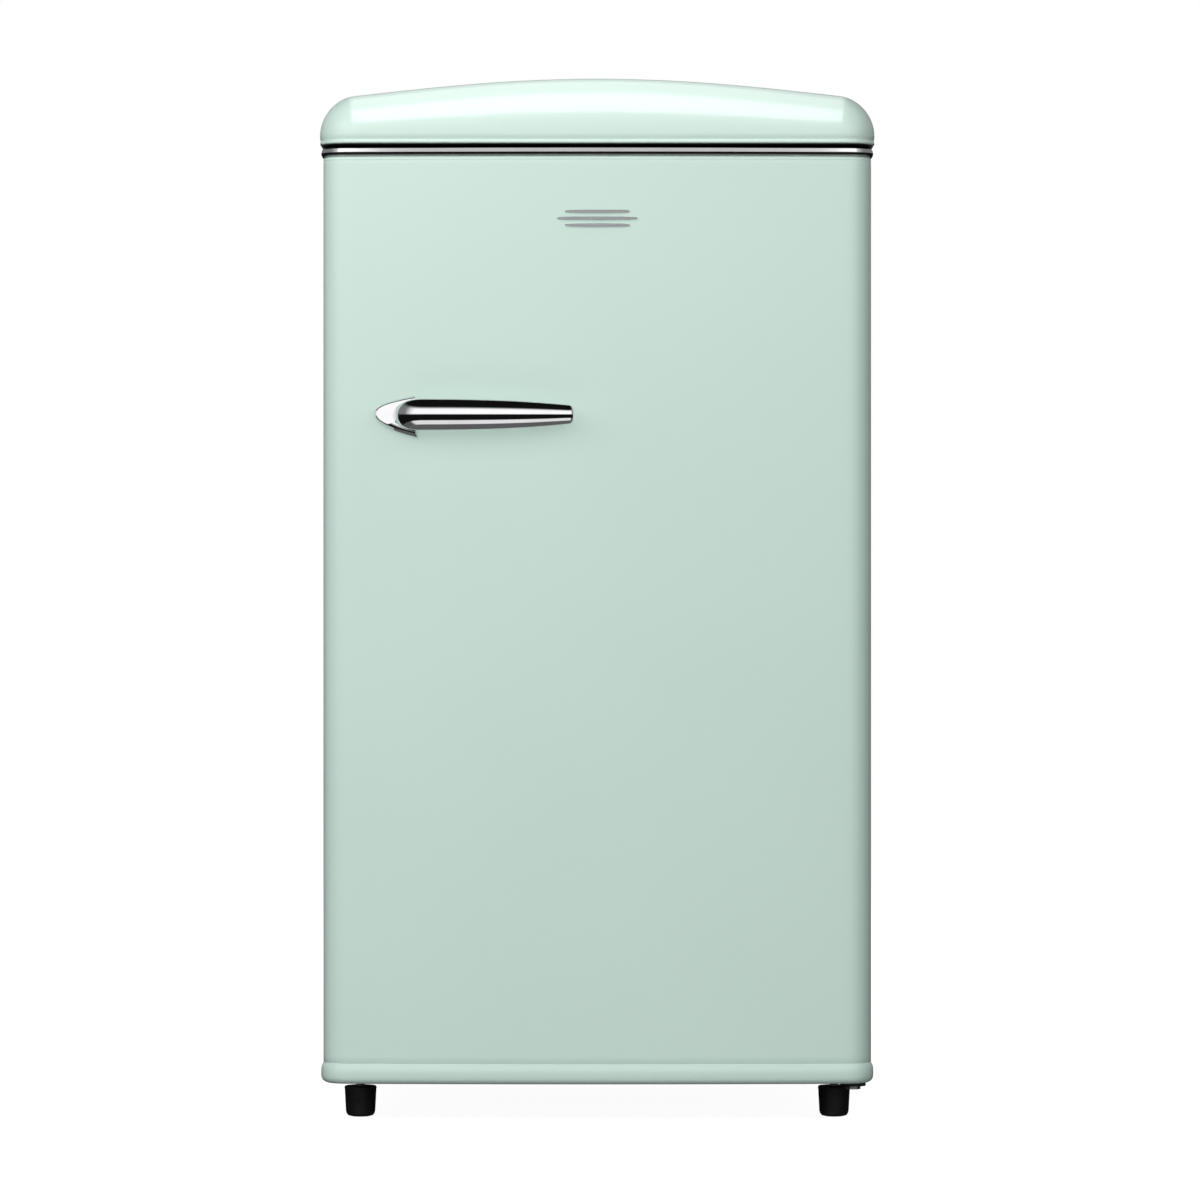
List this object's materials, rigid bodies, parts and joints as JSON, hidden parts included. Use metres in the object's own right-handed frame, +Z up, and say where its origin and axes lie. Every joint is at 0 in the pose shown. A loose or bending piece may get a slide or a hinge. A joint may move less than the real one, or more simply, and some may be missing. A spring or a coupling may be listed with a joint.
{
  "type": "retro mini fridge",
  "caption": "Free-standing compact refrigerator with rounded retro cabinet, hinged door, bar handle, inner ice box with flap, shelves, crisper, dial and levelling feet.",
  "frame": {"origin": "on the floor, below the middle of the overall box", "axes": "+Z up; +X to the hinge side, the right as seen from the front; -Y out of the front of the door"},
  "size_m": [0.484, 0.534, 0.914],
  "materials": {
    "mint_paint": "gloss",
    "mint_plastic": "gloss",
    "chrome": "mirror polished",
    "zinc": "satin galvanised",
    "aluminium": "satin",
    "white_plastic": "satin",
    "clear_plastic": "clear tinted",
    "shelf_glass": "clear toughened",
    "black_paint": "satin",
    "black_plastic": "matte",
    "rubber": "matte",
    "gasket_vinyl": "matte",
    "copper": "satin",
    "foam": "matte"
  },
  "bodies": {
    "cabinet": {"cabinet_shell": "mint_paint", "rear_panel": "zinc", "liner": "white_plastic", "cabinet_insulation": "foam", "base_pan": "zinc", "front_base_rail": "zinc", "hump_plate": "zinc", "top_cap": "mint_plastic", "cap_base": "black_plastic", "cap_screws": "zinc", "upper_hinge_bracket": "black_paint", "lower_hinge_bracket": "black_paint", "hinge_pins": "zinc", "hinge_screws": "zinc", "compressor": "black_paint", "compressor_plate": "black_paint", "compressor_grommets": "rubber", "compressor_bolts": "zinc", "terminal_cover": "black_plastic", "suction_tube": "copper", "discharge_tube": "copper", "filter_drier": "copper", "capillary_tube": "copper", "condenser_tube": "black_paint", "condenser_wires": "black_paint", "condenser_brackets": "black_plastic", "drain_pan": "black_plastic", "drain_tube": "white_plastic", "evaporator": "aluminium", "evaporator_hangers": "white_plastic", "ice_box_frame": "white_plastic", "tray_rails": "white_plastic", "shelf_glass": "shelf_glass", "shelf_trims": "white_plastic", "crisper_cover": "shelf_glass", "thermostat_housing": "white_plastic", "cord_gland": "black_plastic", "rear_screws": "zinc", "rear_feet": "rubber", "foot_nuts": "zinc"},
    "door": {"door_skin": "mint_paint", "door_top_cap": "black_plastic", "door_top_trim": "chrome", "door_bottom_cap": "mint_plastic", "door_insulation": "foam", "door_liner": "white_plastic", "door_gasket": "gasket_vinyl", "rack_top": "clear_plastic", "rack_middle": "clear_plastic", "rack_bottom": "clear_plastic", "handle_base": "chrome", "handle_grip": "chrome", "badge": "chrome", "hinge_bushes": "white_plastic"},
    "ice_flap": {"ice_box_door": "clear_plastic"},
    "drip_tray": {"drip_tray": "clear_plastic"},
    "crisper": {"crisper_drawer": "clear_plastic"},
    "dial": {"thermostat_knob": "white_plastic"},
    "foot_left": {"foot_left": "rubber"},
    "foot_right": {"foot_right": "rubber"}
  },
  "joints": [
    {"name": "door_swing", "type": "hinge", "parent": "cabinet", "child": "door", "pos_m": [0.224, -0.19, 0.44], "axis": [0, 0, 1], "range_deg": [0, 120]},
    {"name": "ice_flap_swing", "type": "hinge", "parent": "cabinet", "child": "ice_flap", "pos_m": [0, -0.064, 0.791], "axis": [-1, 0, 0], "range_deg": [0, 85]},
    {"name": "drip_tray_slide", "type": "slide", "parent": "cabinet", "child": "drip_tray", "axis": [0, -1, 0], "range_m": [0, 0.055]},
    {"name": "crisper_slide", "type": "slide", "parent": "cabinet", "child": "crisper", "axis": [0, -1, 0], "range_m": [0, 0.042]},
    {"name": "dial_turn", "type": "hinge", "parent": "cabinet", "child": "dial", "pos_m": [0.163, 0.05, 0.618], "axis": [-1, 0, 0], "range_deg": [0, 270]},
    {"name": "foot_left_screw", "type": "slide", "parent": "cabinet", "child": "foot_left", "axis": [0, 0, -1], "range_m": [0, 0.012]},
    {"name": "foot_right_screw", "type": "slide", "parent": "cabinet", "child": "foot_right", "axis": [0, 0, -1], "range_m": [0, 0.012]}
  ]
}
